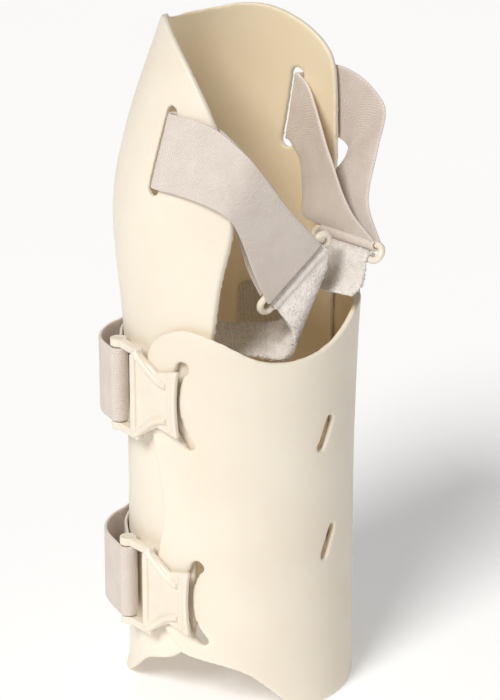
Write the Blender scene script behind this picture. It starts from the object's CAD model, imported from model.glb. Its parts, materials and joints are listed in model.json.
import json
import math
import random

import bpy
from mathutils import Matrix, Vector, noise


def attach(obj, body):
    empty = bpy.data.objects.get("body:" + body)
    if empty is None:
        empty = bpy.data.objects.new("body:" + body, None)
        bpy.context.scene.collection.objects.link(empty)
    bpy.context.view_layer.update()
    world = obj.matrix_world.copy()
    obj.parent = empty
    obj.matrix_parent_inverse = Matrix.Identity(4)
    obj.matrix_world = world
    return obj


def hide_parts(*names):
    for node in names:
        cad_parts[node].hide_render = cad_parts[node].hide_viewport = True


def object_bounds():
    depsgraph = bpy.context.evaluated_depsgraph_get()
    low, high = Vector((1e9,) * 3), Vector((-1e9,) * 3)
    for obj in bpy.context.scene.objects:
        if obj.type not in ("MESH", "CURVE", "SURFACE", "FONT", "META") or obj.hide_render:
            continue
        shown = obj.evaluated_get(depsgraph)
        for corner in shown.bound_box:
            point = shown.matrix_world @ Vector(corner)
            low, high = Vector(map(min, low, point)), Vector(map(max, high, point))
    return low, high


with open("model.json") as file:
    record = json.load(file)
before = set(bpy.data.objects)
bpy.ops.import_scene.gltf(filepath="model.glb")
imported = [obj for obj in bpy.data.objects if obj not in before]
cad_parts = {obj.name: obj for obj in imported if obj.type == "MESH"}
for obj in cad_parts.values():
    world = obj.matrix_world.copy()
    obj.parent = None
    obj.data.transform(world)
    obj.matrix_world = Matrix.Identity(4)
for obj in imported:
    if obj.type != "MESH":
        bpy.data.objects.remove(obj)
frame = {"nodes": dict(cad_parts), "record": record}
cad_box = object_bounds()
nodes = frame["nodes"]
scene = bpy.context.scene

# ---------------------------------------------------------------- camera and light

TARGET = Vector((0, 0, 0.165))
DISTANCE = 1.15
SENSOR, FOCAL = 36.0, 118.3                 # millimetres
SHIFT_X, SHIFT_Y = 0.0186, 0.0257           # shares of the sensor width
SUN_SPREAD, SUN_STRENGTH = math.radians(22), 2.45
AMBIENT = 0.21


def direction(azimuth, elevation):
    """Unit vector at an azimuth from -Y towards +X and a height, both in degrees."""
    turn, rise = math.radians(azimuth), math.radians(elevation)
    return Vector((math.sin(turn) * math.cos(rise), -math.cos(turn) * math.cos(rise), math.sin(rise)))


def add(name, data):
    """Object for its data, linked into the scene."""
    made = bpy.data.objects.new(name, data)
    scene.collection.objects.link(made)
    return made


away = direction(-50, 20)
camera_data = bpy.data.cameras.new("camera")
camera_data.sensor_width = SENSOR
camera_data.lens = FOCAL
camera_data.shift_x = SHIFT_X
camera_data.shift_y = SHIFT_Y
camera_data.clip_start = 0.01
camera = add("camera", camera_data)
camera.location = TARGET + away * DISTANCE
camera.rotation_euler = (-away).to_track_quat("-Z", "Y").to_euler()
scene.camera = camera
scene.view_settings.view_transform = "Standard"

sun_data = bpy.data.lights.new("key", "SUN")
sun_data.angle = SUN_SPREAD
sun_data.energy = SUN_STRENGTH
sun_data.color = (1.0, 0.99, 0.975)
sun = add("key", sun_data)
sun.rotation_euler = (-direction(-80, 42)).to_track_quat("-Z", "Y").to_euler()

world = bpy.data.worlds.new("studio")
world.use_nodes = True
world.node_tree.nodes["Background"].inputs["Color"].default_value = (1.0, 1.0, 1.0, 1.0)
world.node_tree.nodes["Background"].inputs["Strength"].default_value = AMBIENT
scene.world = world

# ---------------------------------------------------------------- materials


def tint(red, green, blue):
    """Screen colour, 0 to 255, as a linear shader colour."""
    linear = []
    for value in (red / 255, green / 255, blue / 255):
        linear.append(value / 12.92 if value <= 0.04045 else ((value + 0.055) / 1.055) ** 2.4)
    return (*linear, 1.0)


class Finish:
    """A Principled material with helpers for adding nodes."""

    def __init__(self, name, colour, roughness):
        self.material = bpy.data.materials.new(name)
        self.material.use_nodes = True
        self.tree = self.material.node_tree
        self.shader = self.tree.nodes["Principled BSDF"]
        self.shader.inputs["Base Color"].default_value = colour
        self.shader.inputs["Roughness"].default_value = roughness

    def node(self, kind, **values):
        made = self.tree.nodes.new(kind)
        for key, value in values.items():
            setattr(made, key, value)
        return made

    def link(self, source, target):
        self.tree.links.new(source, target)

    def object_noise(self, scale, detail=3.0):
        """Noise fixed to the piece, `scale` features a metre."""
        where = self.node("ShaderNodeTexCoord")
        made = self.node("ShaderNodeTexNoise")
        made.inputs["Scale"].default_value = scale
        made.inputs["Detail"].default_value = detail
        self.link(where.outputs["Object"], made.inputs["Vector"])
        return made.outputs["Fac"]

    def axes(self, coordinate):
        """X, Y and Z of a texture coordinate."""
        where = self.node("ShaderNodeTexCoord")
        split = self.node("ShaderNodeSeparateXYZ")
        self.link(where.outputs[coordinate], split.inputs["Vector"])
        return split.outputs

    def mix(self, factor, first, second):
        """Colour between two colours or sockets."""
        made = self.node("ShaderNodeMix", data_type="RGBA")
        self.link(factor, made.inputs["Factor"])
        for socket, value in ((made.inputs["A"], first), (made.inputs["B"], second)):
            if isinstance(value, tuple):
                socket.default_value = value
            else:
                self.link(value, socket)
        return made.outputs["Result"]

    def remap(self, value, low, high, to_low, to_high):
        made = self.node("ShaderNodeMapRange")
        made.inputs["From Min"].default_value = low
        made.inputs["From Max"].default_value = high
        made.inputs["To Min"].default_value = to_low
        made.inputs["To Max"].default_value = to_high
        self.link(value, made.inputs["Value"])
        return made.outputs["Result"]

    def cloud(self, scale, low=0.0, high=1.0):
        """Slow noise that runs from `low` to `high`."""
        return self.remap(self.object_noise(scale), 0.3, 0.7, low, high)

    def wave(self, run, pitch):
        """Sine of a distance in metres, with its pitch in metres."""
        return self.math("SINE", self.math("MULTIPLY", run, 2 * math.pi / pitch))

    def math(self, operation, first, second=None):
        made = self.node("ShaderNodeMath", operation=operation)
        for socket, value in zip(made.inputs, (first, second)):
            if value is None:
                continue
            if isinstance(value, (int, float)):
                socket.default_value = value
            else:
                self.link(value, socket)
        return made.outputs["Value"]

    def bump(self, height, distance, strength=1.0):
        made = self.node("ShaderNodeBump")
        made.inputs["Distance"].default_value = distance
        made.inputs["Strength"].default_value = strength
        self.link(height, made.inputs["Height"])
        self.link(made.outputs["Normal"], self.shader.inputs["Normal"])

    def colour(self, source):
        self.link(source, self.shader.inputs["Base Color"])

    def roughness(self, source):
        self.link(source, self.shader.inputs["Roughness"])

    def sheen(self, weight, roughness):
        self.shader.inputs["Sheen Weight"].default_value = weight
        self.shader.inputs["Sheen Roughness"].default_value = roughness

    def soften(self, weight, scale):
        """Light scattered under the surface, warmer than it came in."""
        self.shader.inputs["Subsurface Weight"].default_value = weight
        self.shader.inputs["Subsurface Radius"].default_value = (1.0, 0.62, 0.36)
        self.shader.inputs["Subsurface Scale"].default_value = scale


def shell_finish():
    """Satin polyethylene, ivory outside and warmer on the walls that face the leg."""
    made = Finish("moulded_shell", tint(248, 238, 220), 0.44)
    place = made.axes("Object")
    radial = made.node("ShaderNodeCombineXYZ")
    made.link(place["X"], radial.inputs["X"])
    made.link(place["Y"], radial.inputs["Y"])
    unit = made.node("ShaderNodeVectorMath", operation="NORMALIZE")
    made.link(radial.outputs["Vector"], unit.inputs[0])
    facing = made.node("ShaderNodeVectorMath", operation="DOT_PRODUCT")
    made.link(unit.outputs["Vector"], facing.inputs[0])
    made.link(made.node("ShaderNodeNewGeometry").outputs["Normal"], facing.inputs[1])
    outward = made.remap(facing.outputs["Value"], -0.6, -0.1, 0.0, 1.0)
    cloudy = made.cloud(22.0)
    outside = made.mix(cloudy, tint(244, 234, 217), tint(238, 227, 209))
    inside = made.mix(cloudy, tint(252, 236, 206), tint(247, 229, 196))
    made.colour(made.mix(outward, inside, outside))
    made.roughness(made.cloud(60.0, 0.38, 0.52))
    made.bump(made.object_noise(420.0, 5.0), 0.0004, 0.12)
    made.soften(0.18, 0.004)
    return made.material


def buckle_finish():
    """Injection-moulded ivory plastic, a little glossier than the shells."""
    made = Finish("moulded_buckle", tint(250, 242, 224), 0.34)
    cloudy = made.cloud(70.0)
    made.colour(made.mix(cloudy, tint(240, 231, 215), tint(235, 224, 206)))
    made.roughness(made.cloud(300.0, 0.28, 0.42))
    made.bump(made.object_noise(1500.0, 4.0), 0.0001, 0.25)
    made.soften(0.2, 0.003)
    return made.material


def webbing_finish():
    """Woven strap: fine ribs across, rows of yarn along, from the ribbon's own metres."""
    made = Finish("woven_webbing", tint(226, 217, 211), 0.82)
    place = made.axes("UV")
    weave = made.math("MULTIPLY", made.wave(place["X"], 0.0016), made.wave(place["Y"], 0.0013))
    ribs = made.math("MULTIPLY", made.wave(place["X"], 0.0008), 0.5)
    height = made.math("ADD", weave, ribs)
    worn = made.cloud(90.0)
    plain = made.mix(worn, tint(240, 228, 218), tint(231, 218, 207))
    thread = made.remap(weave, -1.0, 1.0, 0.0, 1.0)
    made.colour(made.mix(made.math("MULTIPLY", thread, 0.35), plain, tint(216, 202, 191)))
    made.bump(height, 0.00022, 0.75)
    made.sheen(0.12, 0.5)
    return made.material


def terry_finish():
    """Looped cotton pile."""
    made = Finish("terry_pile", tint(235, 228, 220), 0.95)
    patchy = made.cloud(260.0)
    made.colour(made.mix(patchy, tint(240, 234, 228), tint(226, 217, 208)))
    made.bump(made.object_noise(2600.0, 4.0), 0.0003, 0.6)
    made.sheen(0.25, 0.6)
    made.soften(0.1, 0.002)
    return made.material


def hook_finish():
    """Hook tape: rows of fine plastic hooks on a woven ground."""
    made = Finish("hook_tape", tint(222, 212, 194), 0.6)
    where = made.node("ShaderNodeTexCoord")
    dots = made.node("ShaderNodeTexVoronoi", feature="F1")
    dots.inputs["Scale"].default_value = 900.0
    dots.inputs["Randomness"].default_value = 0.35
    made.link(where.outputs["Object"], dots.inputs["Vector"])
    made.colour(made.mix(made.remap(dots.outputs["Distance"], 0.1, 0.7, 0.0, 1.0),
                         tint(236, 228, 212), tint(205, 193, 170)))
    made.bump(made.remap(dots.outputs["Distance"], 0.0, 0.7, 1.0, 0.0), 0.0006, 0.8)
    return made.material


def rivet_finish():
    """Turned aluminium with fine scratches."""
    made = Finish("rivet_metal", tint(205, 205, 205), 0.35)
    made.shader.inputs["Metallic"].default_value = 1.0
    made.colour(made.mix(made.object_noise(500.0), tint(216, 216, 216), tint(180, 180, 182)))
    made.roughness(made.cloud(900.0, 0.25, 0.5))
    made.bump(made.object_noise(3000.0), 0.00005, 0.4)
    return made.material


def floor_finish():
    """Pale matt floor, lifted a little by its own light."""
    made = Finish("floor", tint(250, 249, 248), 0.9)
    made.colour(made.mix(made.object_noise(3.0), tint(251, 250, 249), tint(248, 247, 246)))
    made.shader.inputs["Emission Color"].default_value = (1.0, 1.0, 1.0, 1.0)
    made.shader.inputs["Emission Strength"].default_value = 0.28
    return made.material


finishes = {
    "shell": shell_finish(),
    "buckle": buckle_finish(),
    "webbing": webbing_finish(),
    "terry": terry_finish(),
    "hook_tape": hook_finish(),
    "rivet_metal": rivet_finish(),
}

# ---------------------------------------------------------------- floor

FLOOR_REACH, FLOOR_GAP = 8.0, 0.0002
corners = [(x * FLOOR_REACH, y * FLOOR_REACH, 0) for x, y in ((-1, -1), (1, -1), (1, 1), (-1, 1))]
floor_mesh = bpy.data.meshes.new("floor")
floor_mesh.from_pydata(corners, [], [(0, 1, 2, 3)])
floor_mesh.materials.append(floor_finish())
floor = add("floor", floor_mesh)
floor.location.z = cad_box[0][2] - FLOOR_GAP

# ---------------------------------------------------------------- carried-over CAD nodes

SHELL_ROUNDING = 0.0007, 12                 # remesh size in metres, passes of smoothing
BUCKLE_ROUNDING = 0.0004, 3


def round_edges(piece, voxel, passes):
    """Rounds a CAD node's edges with modifiers, which leave its mesh as it is."""
    remesh = piece.modifiers.new("soft_edges", "REMESH")
    remesh.mode = "VOXEL"
    remesh.voxel_size = voxel
    remesh.use_smooth_shade = True
    relax = piece.modifiers.new("relax", "SMOOTH")
    relax.factor = 0.5
    relax.iterations = passes


for row in frame["record"]["subparts"]:
    piece = nodes[row["node"]]
    if row["node"].endswith("_shell"):
        round_edges(piece, *SHELL_ROUNDING)
    elif row["node"].endswith("_buckle"):
        round_edges(piece, *BUCKLE_ROUNDING)
    for holder in piece.material_slots:
        holder.material = finishes[row["material_slot"]]

# ---------------------------------------------------------------- ribbons

# Sizes from here on are in millimetres. Vertices are turned into metres when a mesh is made.
MM = 0.001
WALL = 3.2
WEBBING_WIDTH, WEBBING = 38.0, 1.6          # the second is the thickness
TERRY = 1.8                                 # thickness of the terry cloth
CLEAR = 0.4                                 # air between a leg strap and the shell

# Level, half width, half depth and centre of the shin shell's outside.
LEG_SECTIONS = [
    (-4, 56, 56, 0),
    (60, 55.5, 55.5, 0),
    (120, 55, 55, 0),
    (190, 56.5, 56.5, 0),
    (250, 59, 61, 0.5),
    (290, 55.5, 58, -4.5),
    (346, 46.5, 50.5, -18),
]


def smooth(knots, values, at):
    """Value of a smooth curve through `values`, one for each knot, at the parameter `at`."""
    last = len(knots) - 1
    i = max(k for k in range(last) if knots[k] <= at or k == 0)
    before, after = max(i - 1, 0), min(i + 2, last)
    span = knots[i + 1] - knots[i]
    t = (at - knots[i]) / span
    start = (values[i + 1] - values[before]) * (span / (knots[i + 1] - knots[before]))
    end = (values[after] - values[i]) * (span / (knots[after] - knots[i]))
    return (values[i] * (2 * t ** 3 - 3 * t ** 2 + 1) + start * (t ** 3 - 2 * t ** 2 + t)
            + values[i + 1] * (3 * t ** 2 - 2 * t ** 3) + end * (t ** 3 - t ** 2))


def section_at(level):
    """Half width, half depth and centre of the shin shell's outside at a height."""
    levels = [row[0] for row in LEG_SECTIONS]
    return smooth(levels, [Vector(row[1:]) for row in LEG_SECTIONS], level)


def on_leg(side, y, level, off):
    """Point at a depth and height that stands `off` from the shin shell's outside."""
    a, b, centre = section_at(level)
    across = 1 - ((y - centre) / (b + off)) ** 2
    return Vector((side * (a + off) * math.sqrt(max(across, 0)), y, level))


def rows_between(stations, steps):
    """Smooth rows through (top edge, bottom edge) pairs."""
    tops, bottoms = zip(*stations)
    knots = [0.0]
    for (t0, b0), (t1, b1) in zip(stations, stations[1:]):
        knots.append(knots[-1] + math.sqrt(((t1 - t0).length + (b1 - b0).length) / 2))
    rows = []
    for k in range(steps + 1):
        at = knots[-1] * k / steps
        rows.append((smooth(knots, tops, at), smooth(knots, bottoms, at)))
    return rows


def lifts(rows):
    """Unit normal of each row of a ribbon."""
    normals = []
    for k, (top, bottom) in enumerate(rows):
        before, after = rows[max(k - 1, 0)], rows[min(k + 1, len(rows) - 1)]
        along = (after[0] + after[1]) - (before[0] + before[1])
        normals.append(along.cross(top - bottom).normalized())
    return normals


def edge_profile(width, thick, columns):
    """(place across, half thickness) of a ribbon with rounded edges."""
    half = thick / 2
    rim = [(0.0, 0.0), (0.13 * half, 0.5 * half), (0.5 * half, 0.87 * half), (half, half)]
    inner = [(half + (width - 2 * half) * k / columns, half) for k in range(1, columns)]
    return rim + inner + [(width - s, h) for s, h in reversed(rim)]


def smooth_piece(name, vertices, faces, slot_name):
    """Smooth-shaded piece in the finish of its slot."""
    mesh = bpy.data.meshes.new(name)
    mesh.from_pydata(vertices, [], faces)
    mesh.polygons.foreach_set("use_smooth", [True] * len(mesh.polygons))
    mesh.materials.append(finishes[slot_name])
    piece = add(name, mesh)
    return piece


RIBBON_COLUMNS = 20
RIPPLE_RATE = 0.09                          # swells a millimetre


def ribbon(name, rows, thick, slot_name, ripple):
    """Closed ribbon through the rows, with rounded edges and UVs in metres, and its length."""
    width = sum((top - bottom).length for top, bottom in rows) / len(rows)
    profile = edge_profile(width, thick, RIBBON_COLUMNS)
    around = 2 * len(profile) - 2
    vertices, marks = [], []
    run = 0.0
    middle = None
    for (top, bottom), lift in zip(rows, lifts(rows)):
        centre = (top + bottom) / 2
        if middle is not None:
            run += (centre - middle).length
        middle = centre
        down = bottom - top
        ring = [(s, h) for s, h in profile] + [(s, -h) for s, h in reversed(profile[1:-1])]
        for s, h in ring:
            place = top + down * (s / width)
            sway = ripple * noise.noise(place * RIPPLE_RATE)
            vertices.append((place + lift * (h + sway)) * MM)
            marks.append((s * MM, run * MM))
    faces = []
    for k in range(len(rows) - 1):
        for j in range(around):
            a, b = k * around + j, k * around + (j + 1) % around
            faces.append((a, b, b + around, a + around))
    last = (len(rows) - 1) * around
    faces.append(tuple(reversed(range(around))))
    faces.append(tuple(range(last, last + around)))
    piece = smooth_piece(name, vertices, faces, slot_name)
    layer = piece.data.uv_layers.new(name="metres")
    for loop in piece.data.loops:
        layer.data[loop.index].uv = marks[loop.vertex_index]
    return piece, run


RING_WIRE, RING_PITCH, RING_PLAY = 1.7, 7.8, 0.25
FOLD = RING_WIRE + RING_PLAY + WEBBING / 2
TERRY_FOLD = RING_WIRE + RING_PLAY + TERRY / 2


class Ring:
    """Place of one ring: its strap bar's fold line, and the way the strap arrives."""

    def __init__(self, bottom, top, comes_from):
        self.bar = (Vector(top) - Vector(bottom)).normalized()
        middle = (Vector(top) + Vector(bottom)) / 2
        run = middle - Vector(comes_from)
        self.down = (run - self.bar * run.dot(self.bar)).normalized()
        self.front = self.down.cross(self.bar)
        self.strap_bar = middle - self.down * (FOLD + WEBBING / 2)
        self.terry_bar = self.strap_bar + self.down * RING_PITCH

    def pair(self, centre, degrees, radius):
        """Edge points of a fold round a bar; 0 degrees is the front side."""
        turn = math.radians(degrees)
        point = centre + self.front * (radius * math.cos(turn)) + self.down * (radius * math.sin(turn))
        half = self.bar * (WEBBING_WIDTH / 2)
        return point + half, point - half


left_ring = Ring((-18.4, -36, 213), (0.4, -50, 239), (-28, -44, 247))
right_ring = Ring((28, -31.5, 234), (22, -66, 234), (40, -36, 254))

WING_AIR = CLEAR + 0.3
INSIDE = -(WALL + WING_AIR + WEBBING / 2)
OUTSIDE = WING_AIR + WEBBING / 2


def wing_pair(side, top, bottom, off):
    """Edge points of a strap that lies along a wing, `off` from its outside."""
    return on_leg(side, *top, off), on_leg(side, *bottom, off)


def vectors(pairs):
    """Edge points given as plain numbers."""
    return [(Vector(a), Vector(b)) for a, b in pairs]


def left_strap_stations():
    """From the ring up inside the wing, out through its slot and back down to the ring."""
    ring = left_ring
    return [
        ring.pair(ring.strap_bar, 200, FOLD),
        *vectors([((-21, -43.5, 263), (-29, -30.5, 230)), ((-38, -38, 288), (-37, -29, 252))]),
        wing_pair(-1, (-25, 302), (-23, 266), INSIDE - 0.8),
        wing_pair(-1, (-15, 305), (-8, 269), INSIDE),
        wing_pair(-1, (-7, 306), (1, 270), INSIDE + 0.2),
        wing_pair(-1, (-3.6, 306), (4.4, 270), -WALL / 2),
        wing_pair(-1, (-7, 306), (1, 270), OUTSIDE),
        wing_pair(-1, (-20, 305), (-11, 269.5), OUTSIDE + 0.2),
        wing_pair(-1, (-30, 302.5), (-25, 267), OUTSIDE + 1.0),
        *vectors([((-51.5, -40, 298), (-50.8, -36, 261.5)), ((-46, -49, 288), (-44, -38, 251.5)),
                  ((-25, -52, 263), (-32.5, -38, 229))]),
        *[ring.pair(ring.strap_bar, a, FOLD) for a in (0, 30, 60, 90, 120, 150)],
    ]


def right_strap_stations():
    """The same path on the right, whose outer half stands away from the wing in front."""
    ring = right_ring
    return [
        *[ring.pair(ring.strap_bar, a, FOLD) for a in (160, 130, 100, 70, 40, 10, -15)],
        *vectors([((25, -50, 251), (33, -15.5, 240)), ((31.4, -33.2, 271.6), (44.4, -6.1, 248.4)),
                  ((46.5, -8, 299), (50.5, 1, 262))]),
        wing_pair(1, (0, 306), (9, 270), INSIDE + 0.2),
        wing_pair(1, (3.5, 306), (12.8, 270), -WALL / 2),
        wing_pair(1, (0, 306), (9, 270), OUTSIDE),
        wing_pair(1, (-10, 310), (-3, 273), OUTSIDE + 0.2),
        wing_pair(1, (-20, 312.5), (-16, 275), OUTSIDE + 1.0),
        *vectors([((50, -37, 309.5), (53.5, -27, 273)), ((47, -51.5, 301), (51.3, -28, 270)),
                  ((45.5, -54.5, 293.5), (50, -27, 266.5)), ((42, -53, 277), (48, -21, 257)),
                  ((33, -55, 254), (42, -21, 243))]),
        ring.pair(ring.strap_bar, 205, FOLD),
    ]


TERRY_TURN = -150, -120, -90, -60, -30, 0, 20


def left_terry_stations():
    """Round the ring's lower bar, then in a curl across the leg space to the left wall."""
    ring = left_ring
    return [
        *[ring.pair(ring.terry_bar, a, TERRY_FOLD) for a in TERRY_TURN],
        *vectors([((5, -51, 226), (-12, -44.5, 198)), ((8, -39, 208), (-11, -44, 187)),
                  ((10, -20, 192), (-12.5, -38, 181.5)), ((9, -4, 187), (-15, -26, 181)),
                  ((3, 14, 185), (-22, -11, 180)), ((-24, 24, 191), (-39, -4, 176)),
                  ((-44.5, 22, 202), (-49, 6, 169))]),
    ]


def right_terry_stations():
    """Round the ring's lower bar, then a short free end."""
    ring = right_ring
    return [
        *[ring.pair(ring.terry_bar, a, TERRY_FOLD) for a in TERRY_TURN],
        *vectors([((14.5, -66, 219), (20, -31, 216)), ((10.5, -63, 213.5), (17, -29, 210))]),
    ]


PILE_PITCH, PILE_HEIGHT = 1.3, 0.6
PILE_SCATTER, PILE_LEAN = 0.45, 0.5
PILE_MARGIN, PILE_ROOT = 0.4, 0.35          # from the cloth's edge, and below its face
YARN_RADIUS, YARN_SIDES, YARN_STEPS = 0.26, 4, 5


def yarn_loop(root, leg, lean, wide, tall, first):
    """Vertices and faces of one arched loop of yarn; `first` is its first vertex's number."""
    vertices, faces = [], []
    binormal = leg.cross(lean).normalized()
    for step in range(YARN_STEPS + 1):
        a = math.pi * step / YARN_STEPS
        point = root + leg * (wide * math.cos(a)) + lean * (tall * math.sin(a))
        outward = (leg * math.cos(a) + lean * math.sin(a)).normalized()
        for s in range(YARN_SIDES):
            b = 2 * math.pi * s / YARN_SIDES
            offset = outward * (YARN_RADIUS * math.cos(b)) + binormal * (YARN_RADIUS * math.sin(b))
            vertices.append((point + offset) * MM)
    for step in range(YARN_STEPS):
        for s in range(YARN_SIDES):
            a = first + step * YARN_SIDES + s
            b = first + step * YARN_SIDES + (s + 1) % YARN_SIDES
            faces.append((a, b, b + YARN_SIDES, a + YARN_SIDES))
    return vertices, faces


def terry_pile(name, rows, seed):
    """Loops of yarn standing on both faces of a terry band."""
    chance = random.Random(seed)
    vertices, faces = [], []
    run, next_row = 0.0, 0.0
    normals = lifts(rows)
    for k in range(1, len(rows) - 1):
        centre = (rows[k][0] + rows[k][1]) / 2
        run += (centre - (rows[k - 1][0] + rows[k - 1][1]) / 2).length
        if run < next_row:
            continue
        next_row += PILE_PITCH
        top, bottom = rows[k]
        down = bottom - top
        used = down.length - 2 * PILE_MARGIN
        down.normalize()
        along = normals[k].cross(down).normalized()
        count = int(used / PILE_PITCH)
        for j in range(count + 1):
            for face in (-1, 1):
                across = PILE_MARGIN + used * j / count + chance.uniform(-PILE_SCATTER, PILE_SCATTER)
                aside = chance.uniform(-PILE_SCATTER, PILE_SCATTER)
                root = top + down * across + along * aside + normals[k] * (face * (TERRY / 2 - PILE_ROOT))
                turn = chance.uniform(0, math.pi)
                leg = down * math.cos(turn) + along * math.sin(turn)
                lean = (down * chance.uniform(-PILE_LEAN, PILE_LEAN)
                        + along * chance.uniform(-PILE_LEAN, PILE_LEAN) + normals[k] * face).normalized()
                tall = PILE_HEIGHT * chance.uniform(0.7, 1.3)
                wide = chance.uniform(0.38, 0.5)
                loop_vertices, loop_faces = yarn_loop(root, leg, lean, wide, tall, len(vertices))
                vertices += loop_vertices
                faces += loop_faces
    return smooth_piece(name, vertices, faces, "terry")


STRAPS = {
    "left": (left_strap_stations(), left_terry_stations(), 7),
    "right": (right_strap_stations(), right_terry_stations(), 11),
}
for side, (strap_stations, terry_stations, seed) in STRAPS.items():
    strap_rows = rows_between(strap_stations, 220)
    strap, length = ribbon(f"{side}_wing_webbing", strap_rows, WEBBING, "webbing", ripple=0.25)
    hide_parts(f"{side}_wing_strap")
    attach(strap, "shin_body")

    terry_rows = rows_between(terry_stations, 160)
    band, length = ribbon(f"{side}_terry_cloth", terry_rows, TERRY, "terry", ripple=0.2)
    pile = terry_pile(f"{side}_terry_pile", terry_rows, seed)
    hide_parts(f"{side}_terry_band")
    for piece in (band, pile):
        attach(piece, "shin_body")

# ---------------------------------------------------------------- leg straps

EDGE = WEBBING_WIDTH / 2
# Level of each leg strap, and depth of its pins.
BUCKLES = {"upper": (166.5, 28.0), "lower": (63.5, 22.0)}
PIN_RADIUS, PIN_STANDOFF = 2.6, 7.0
TAB_THICKNESS, TAB_AIR = 1.2, 0.1
OVERLAP_AIR = 0.25                          # between the tab and the strap's loose end


def bearing_point(radius, degrees):
    """Plan point at an angle from -X towards +Y."""
    turn = math.radians(degrees)
    return Vector((-radius * math.cos(turn), radius * math.sin(turn), 0))


def strap_route(level, pin_y):
    """Left half of a leg strap's middle line, from its loose end to the back of the leg."""
    stand = section_at(level)[0] + PIN_STANDOFF
    pin = Vector((-math.sqrt(stand ** 2 - pin_y ** 2), pin_y, 0))
    bearing = math.degrees(math.atan2(pin_y, -pin.x))
    widest = max(section_at(level + rise)[k] for k in (0, 1) for rise in (-EDGE, 0, EDGE))
    lie = widest + CLEAR + WEBBING / 2
    outer = lie + WEBBING + TAB_AIR + TAB_THICKNESS + OVERLAP_AIR
    points = [bearing_point(outer, a) for a in (84, 80, 76, 72)]
    points += [bearing_point(outer + rise, a) for rise, a in ((0.8, 66), (4.0, 58), (6.6, 48), (7.4, 38))]
    turn_radius = PIN_RADIUS + CLEAR + WEBBING / 2
    points += [pin + bearing_point(turn_radius, bearing - a) for a in (0, 30, 60, 90, 120, 150, 180)]
    points.append(bearing_point(lie + 1.2, bearing + 9))
    points += [bearing_point(lie, a) for a in (48, 55, 62, 69, 76, 82, 86, 90)]
    return points


for name, (level, pin_y) in BUCKLES.items():
    route = strap_route(level, pin_y)
    top, bottom = Vector((0, 0, level + EDGE)), Vector((0, 0, level - EDGE))
    rows = rows_between([(p + top, p + bottom) for p in route], 130)
    flip = Matrix.Diagonal((-1, 1, 1))
    rows += [(flip @ upper, flip @ lower) for upper, lower in reversed(rows[:-1])]
    strap, length = ribbon(f"{name}_leg_webbing", rows, WEBBING, "webbing", ripple=0.15)
    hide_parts(f"{name}_strap")
    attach(strap, "shin_body")
